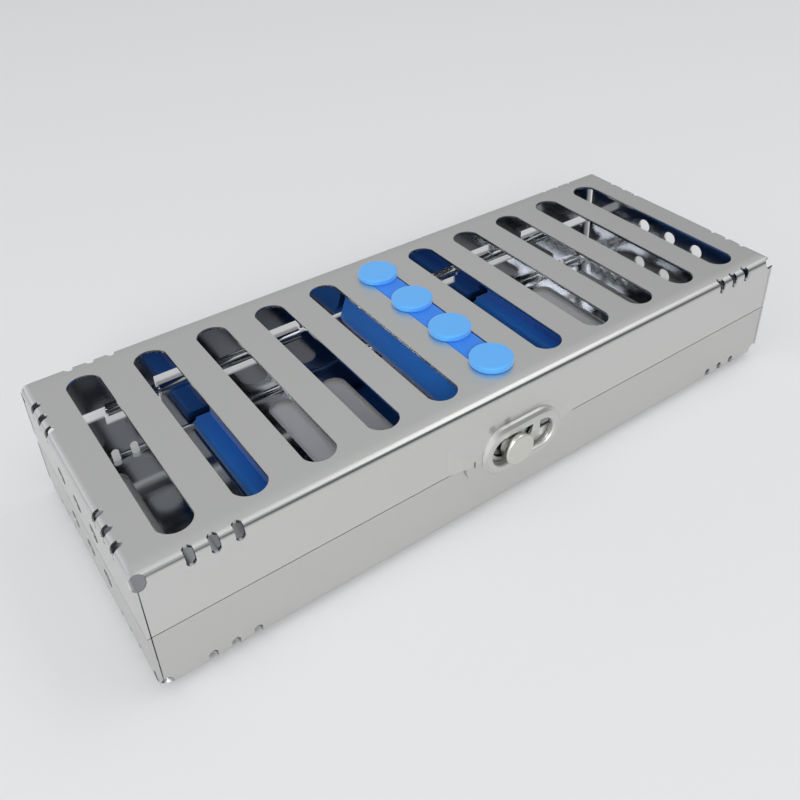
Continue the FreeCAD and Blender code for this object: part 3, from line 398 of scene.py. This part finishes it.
# The blasted mould's grain is too fine to show, so it is drawn at 0.4 mm.
BLAST_GRAIN = 0.4 * MM
BLAST_DEPTH = 0.03 * MM
LIT_START = 17.5 * MM
LIT_FULL = 18.0 * MM
blue_silicone = new_material("moulded_blue_silicone")
silicone_place = add_node(blue_silicone, "ShaderNodeTexCoord")
blast_grain = add_node(blue_silicone, "ShaderNodeTexNoise",
                       {"Vector": silicone_place.outputs["Object"], "Scale": 1 / BLAST_GRAIN, "Detail": 2.0})
blast_bump = add_node(blue_silicone, "ShaderNodeBump",
                      {"Height": blast_grain.outputs["Fac"], "Strength": 0.08, "Distance": BLAST_DEPTH})
dull = add_node(blue_silicone, "ShaderNodeMapRange", {
    "Value": blast_grain.outputs["Fac"], "From Min": 0.0, "From Max": 1.0, "To Min": 0.45, "To Max": 0.58})
silicone_from_middle = add_node(blue_silicone, "ShaderNodeVectorMath",
                                {0: silicone_place.outputs["Object"], 1: (0, 0, BOX_MIDDLE)}, operation="SUBTRACT")
silicone_height = add_node(blue_silicone, "ShaderNodeSeparateXYZ", {"Vector": silicone_from_middle.outputs[0]})
past_plate = add_node(blue_silicone, "ShaderNodeMath", {0: silicone_height.outputs["Z"]}, operation="ABSOLUTE")
# Past the sheet's outer faces the blue is painted paler as painted light, and inside it is painted deeper as
# painted shade.
lit_share = add_node(blue_silicone, "ShaderNodeMapRange", {
    "Value": past_plate.outputs[0], "From Min": LIT_START, "From Max": LIT_FULL,
    "To Min": 0.0, "To Max": 1.0})
lit_and_shaded_silicone = add_node(blue_silicone, "ShaderNodeMix", {
    "Factor": lit_share.outputs["Result"], 6: linear(SHADED_SILICONE_COLOUR), 7: linear(LIT_BUTTON_COLOUR)},
    data_type="RGBA")
silicone_shader = add_node(blue_silicone, "ShaderNodeBsdfPrincipled", {
    "Base Color": lit_and_shaded_silicone.outputs[2], "Roughness": dull.outputs["Result"], "IOR": 1.41,
    "Sheen Weight": 0.3, "Sheen Roughness": 0.5, "Normal": blast_bump.outputs["Normal"]})
add_node(blue_silicone, "ShaderNodeOutputMaterial", {"Surface": silicone_shader.outputs["BSDF"]})


def turned(form, outline, place, steps=72):
    """Adds a round solid. The outline gives radius and height, from the middle of one end to that of the other."""
    rings = []
    for radius, height in outline:
        count = steps if radius else 1
        rings.append([form.verts.new(place @ Vector((
            radius * math.cos(2 * math.pi * i / steps), radius * math.sin(2 * math.pi * i / steps), height)))
            for i in range(count)])
    for lower, upper in zip(rings, rings[1:]):
        for i in range(steps):
            j = (i + 1) % steps
            around = [lower[i % len(lower)], lower[j % len(lower)], upper[j % len(upper)], upper[i % len(upper)]]
            form.faces.new(list(dict.fromkeys(around)))


def slab(form, outline, low, high, round_off, place=Matrix.Identity(4)):
    """Adds a solid of one outline from low to high, with the edges of its two ends rounded off."""
    ends = [[form.verts.new(place @ Vector((x, y, level))) for x, y in outline] for level in (low, high)]
    caps = [form.faces.new(end) for end in ends]
    for i in range(len(outline)):
        j = (i + 1) % len(outline)
        form.faces.new((ends[0][i], ends[0][j], ends[1][j], ends[1][i]))
    rims = list({edge for cap in caps for edge in cap.edges})
    bmesh.ops.bevel(form, geom=rims, offset=round_off, offset_type="OFFSET", segments=3, profile=0.5,
                    affect="EDGES", clamp_overlap=True)


def rounded(corners, steps=6):
    """A closed outline with rounded corners: each corner gives its place and its radius."""
    points = []
    for i, (x, y, radius) in enumerate(corners):
        here = Vector((x, y))
        if not radius:
            points.append(here)
            continue
        before = (Vector(corners[i - 1][:2]) - here).normalized()
        after = (Vector(corners[(i + 1) % len(corners)][:2]) - here).normalized()
        half = before.angle(after) / 2
        centre = here + (before + after).normalized() * (radius / math.sin(half))
        start = here + before * (radius / math.tan(half)) - centre
        sweep = start.angle_signed(here + after * (radius / math.tan(half)) - centre)
        points += [centre + Matrix.Rotation(-sweep * k / steps, 2) @ start for k in range(steps + 1)]
    return points


BUTTON_RADIUS = 5.8
BUTTON_ROUND = 0.5
BUTTON_EDGE_STEPS = 6
# A button's underside, from its middle to its edge: how far inside the edge, and how far from the plate's inside
BUTTON_UNDERSIDE = ((BUTTON_RADIUS, 0.7), (0.6, 0.7), (0.15, 0.82), (0.0, 1.0))
FLAT_EDGE = 0.15
BUTTON_PLACES = (-26.25, -8.75, 8.75, 26.25)
SLOT_FILL_HALF = 4.2
SLOT_FILL_STRAIGHT = 28.6
SLOT_FILL_BULGE = 3.3
SLOT_FILL_BACK = 0.4
SLOT_FILL_FACE = 0.75
SLOT_FILL_ROUND = 0.12
SHEET_THICK = 0.8
ARC_STEPS = 12


def snap_row(form, middle, plate_inside, way, height):
    """Adds the strip that fills a long slot of the sheet, and the four round buttons that snap through it.

    The row's middle is along x, and way is 1 for buttons above the plate and -1 for buttons below it.
    """
    radius = (SLOT_FILL_HALF ** 2 + SLOT_FILL_BULGE ** 2) / (2 * SLOT_FILL_BULGE)
    centre = SLOT_FILL_STRAIGHT + SLOT_FILL_BULGE - radius
    reach = math.asin(SLOT_FILL_HALF / radius)
    fill = []
    for end in (1, -1):
        for i in range(ARC_STEPS + 1):
            t = reach * (1 - 2 * i / ARC_STEPS)
            fill.append((middle + end * radius * math.sin(t), end * (centre + radius * math.cos(t))))
    scale = Matrix.Diagonal((MM, MM, MM, 1))
    slab(form, fill, plate_inside - way * SLOT_FILL_BACK, plate_inside + way * SLOT_FILL_FACE,
         SLOT_FILL_ROUND, scale)
    crown = plate_inside + way * (SHEET_THICK + height)
    outline = [(BUTTON_RADIUS - inset, plate_inside + way * level) for inset, level in BUTTON_UNDERSIDE]
    for i in range(BUTTON_EDGE_STEPS + 1):
        t = math.pi / 2 * i / BUTTON_EDGE_STEPS
        outline.append((BUTTON_RADIUS - BUTTON_ROUND * (1 - math.cos(t)),
                        crown - way * BUTTON_ROUND * (1 - math.sin(t))))
    outline += [(BUTTON_RADIUS - BUTTON_ROUND - FLAT_EDGE, crown), (0, crown)]
    for along in BUTTON_PLACES:
        turned(form, outline, scale @ Matrix.Translation((middle, along, 0)))


# Hold-down: one moulding on the lid. Its bar presses on the instruments from above, and its four buttons were
# pulled through the lid's middle slot and hold it there.
ALONG_BOX = Matrix(((MM, 0, 0, 0), (0, 0, MM, 0), (0, MM, 0, 0), (0, 0, 0, 1)))
BAR_FRONT = -34.1
MOULDING_BACK = 36.4
LID_INSIDE = 35.7
BAR_ROUND = 0.8
LID_BUTTON_HEIGHT = 1.8
bar_half = [(6.4, 15.5, 1.2), (8.3, 19.5, 1.2), (6.0, 25.5, 2.0), (6.0, LID_INSIDE, 0)]
bar_corners = bar_half + [(-x, z, radius) for x, z, radius in reversed(bar_half)]
holddown_form = bmesh.new()
slab(holddown_form, rounded(bar_corners), BAR_FRONT, MOULDING_BACK, BAR_ROUND, ALONG_BOX)
snap_row(holddown_form, 0, LID_INSIDE, 1, LID_BUTTON_HEIGHT)
holddown = placed("holddown_moulding", holddown_form, blue_silicone, "lid")
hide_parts("lid_holddown")

# Rails: two like mouldings on the tray's floor. Each has a notched fin whose five round notches keep the
# instruments apart, and four buttons under the tray that are also its feet.
RAIL_PLACES = (-52.02, 52.02)
FOOT_HALF = 7.75
FLOOR_INSIDE = 2.3
FOOT_TOP = 5.5
FIN_HALF = 2.75
FIN_TOP = 11.5
FIN_SUNK = 1.5
FIN_ROUND = 0.35
FOOT_ROUND = 0.5
FOOT_SHOULDER = 1.4
TRAY_BUTTON_HEIGHT = 1.5
NOTCH_PITCH = 13.0
NOTCH_MOUTH = 3.69
NOTCH_WAIST = 2.667
NOTCH_DROP = 2.3
ACROSS_BOX = Matrix(((0, 0, MM, 0), (MM, 0, 0, 0), (0, MM, 0, 0), (0, 0, 0, 1)))
notch_radius = (NOTCH_WAIST ** 2 + NOTCH_DROP ** 2) / (2 * NOTCH_DROP)
notch_centre = FIN_TOP - 2 * NOTCH_DROP + notch_radius
notch_sweep = math.acos((FIN_TOP - NOTCH_DROP - notch_centre) / notch_radius)
fin_outline = [(-MOULDING_BACK, FOOT_TOP - FIN_SUNK), (-MOULDING_BACK, FIN_TOP)]
for place in range(-2, 3):
    middle = place * NOTCH_PITCH
    fin_outline.append((middle - NOTCH_MOUTH, FIN_TOP))
    for i in range(ARC_STEPS + 1):
        t = math.pi + (math.pi - notch_sweep) * (1 - 2 * i / ARC_STEPS)
        fin_outline.append((middle + notch_radius * math.sin(t), notch_centre + notch_radius * math.cos(t)))
    fin_outline.append((middle + NOTCH_MOUTH, FIN_TOP))
fin_outline += [(MOULDING_BACK, FIN_TOP), (MOULDING_BACK, FOOT_TOP - FIN_SUNK)]
for name, middle in zip(("left_rail", "right_rail"), RAIL_PLACES):
    rail_form = bmesh.new()
    foot = [(middle - FOOT_HALF, FLOOR_INSIDE, 0), (middle + FOOT_HALF, FLOOR_INSIDE, 0),
            (middle + FOOT_HALF, FOOT_TOP, FOOT_SHOULDER), (middle - FOOT_HALF, FOOT_TOP, FOOT_SHOULDER)]
    slab(rail_form, rounded(foot), -MOULDING_BACK, MOULDING_BACK, FOOT_ROUND, ALONG_BOX)
    slab(rail_form, fin_outline, middle - FIN_HALF, middle + FIN_HALF, FIN_ROUND, ACROSS_BOX)
    snap_row(rail_form, middle, FLOOR_INSIDE, -1, TRAY_BUTTON_HEIGHT)
    moulding = placed(name + "_moulding", rail_form, blue_silicone, "tray")
    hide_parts(name)

# Latch knob: turned from stainless bar in one piece with its neck, tumbled until its edges are soft, and
# riveted over behind the slider. Tumbling leaves fine dents, drawn coarser at 0.5 mm, that break up its shine.
KNOB_COLOUR = "#D6D6CE"
TUMBLE_GRAIN = 0.5 * MM
turned_bar = new_material("tumbled_stainless_bar")
bar_place = add_node(turned_bar, "ShaderNodeTexCoord")
tumbling = add_node(turned_bar, "ShaderNodeTexNoise",
                    {"Vector": bar_place.outputs["Object"], "Scale": 1 / TUMBLE_GRAIN, "Detail": 2.0})
tumbled_gloss = add_node(turned_bar, "ShaderNodeMapRange", {
    "Value": tumbling.outputs["Fac"], "From Min": 0.0, "From Max": 1.0, "To Min": 0.24, "To Max": 0.36})
bar_shader = add_node(turned_bar, "ShaderNodeBsdfPrincipled", {
    "Base Color": linear(KNOB_COLOUR), "Metallic": 1.0, "Roughness": tumbled_gloss.outputs["Result"]})
add_node(turned_bar, "ShaderNodeOutputMaterial", {"Surface": bar_shader.outputs["BSDF"]})
KNOB_MIDDLE = (-2.8, 19.0)
KNOB_FACE = 42.1
HEAD_RADIUS = 4.5
HEAD_ROUND = 0.5
HEAD_EDGE_STEPS = 8
HEAD_FLAT_EDGE = 0.12
NECK_RADIUS = 2.2
BODY_RADIUS = 4.05
TURNING_STEPS = 96
# Radius and distance from the box's middle, from the riveted end over the neck and the body to the head
knob_outline = [(0, 36.05), (2.55, 36.05), (2.75, 36.15), (3.0, 36.4), (3.05, 36.5),
                (NECK_RADIUS, 36.5), (NECK_RADIUS, 38.7),
                (3.85, 38.7), (4.0, 38.78), (BODY_RADIUS, 38.9), (BODY_RADIUS, 40.3),
                (4.4, 40.45), (HEAD_RADIUS, 40.55)]
for i in range(HEAD_EDGE_STEPS + 1):
    t = math.pi / 2 * i / HEAD_EDGE_STEPS
    knob_outline.append((HEAD_RADIUS - HEAD_ROUND * (1 - math.cos(t)),
                         KNOB_FACE - HEAD_ROUND * (1 - math.sin(t))))
knob_outline += [(HEAD_RADIUS - HEAD_ROUND - HEAD_FLAT_EDGE, KNOB_FACE), (0, KNOB_FACE)]
knob_form = bmesh.new()
facing_front = Matrix(((MM, 0, 0, KNOB_MIDDLE[0] * MM), (0, 0, -MM, 0),
                       (0, MM, 0, KNOB_MIDDLE[1] * MM), (0, 0, 0, 1)))
turned(knob_form, knob_outline, facing_front, TURNING_STEPS)
knob = placed("turned_knob", knob_form, turned_bar, "latch")
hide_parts("latch_knob")

# Latch plate, strap, leaf spring and keeper: small stampings from bright stainless strip, tumbled after cutting.
# Strap and keeper are spot welded to the walls. The tumbling marks, drawn coarser at 0.8 mm, soften the shine.
STRIP_COLOUR = "#D0D2D4"
STRIP_GRAIN = 0.8 * MM
bright_strip = new_material("bright_stainless_strip")
strip_place = add_node(bright_strip, "ShaderNodeTexCoord")
strip_marks = add_node(bright_strip, "ShaderNodeTexNoise",
                       {"Vector": strip_place.outputs["Object"], "Scale": 1 / STRIP_GRAIN, "Detail": 2.0})
strip_gloss = add_node(bright_strip, "ShaderNodeMapRange", {
    "Value": strip_marks.outputs["Fac"], "From Min": 0.0, "From Max": 1.0, "To Min": 0.14, "To Max": 0.26})
strip_shader = add_node(bright_strip, "ShaderNodeBsdfPrincipled", {
    "Base Color": linear(STRIP_COLOUR), "Metallic": 1.0, "Roughness": strip_gloss.outputs["Result"]})
add_node(bright_strip, "ShaderNodeOutputMaterial", {"Surface": strip_shader.outputs["BSDF"]})
finish_with(bright_strip, ["latch_slider", "latch_guide", "latch_spring", "latch_keeper"])
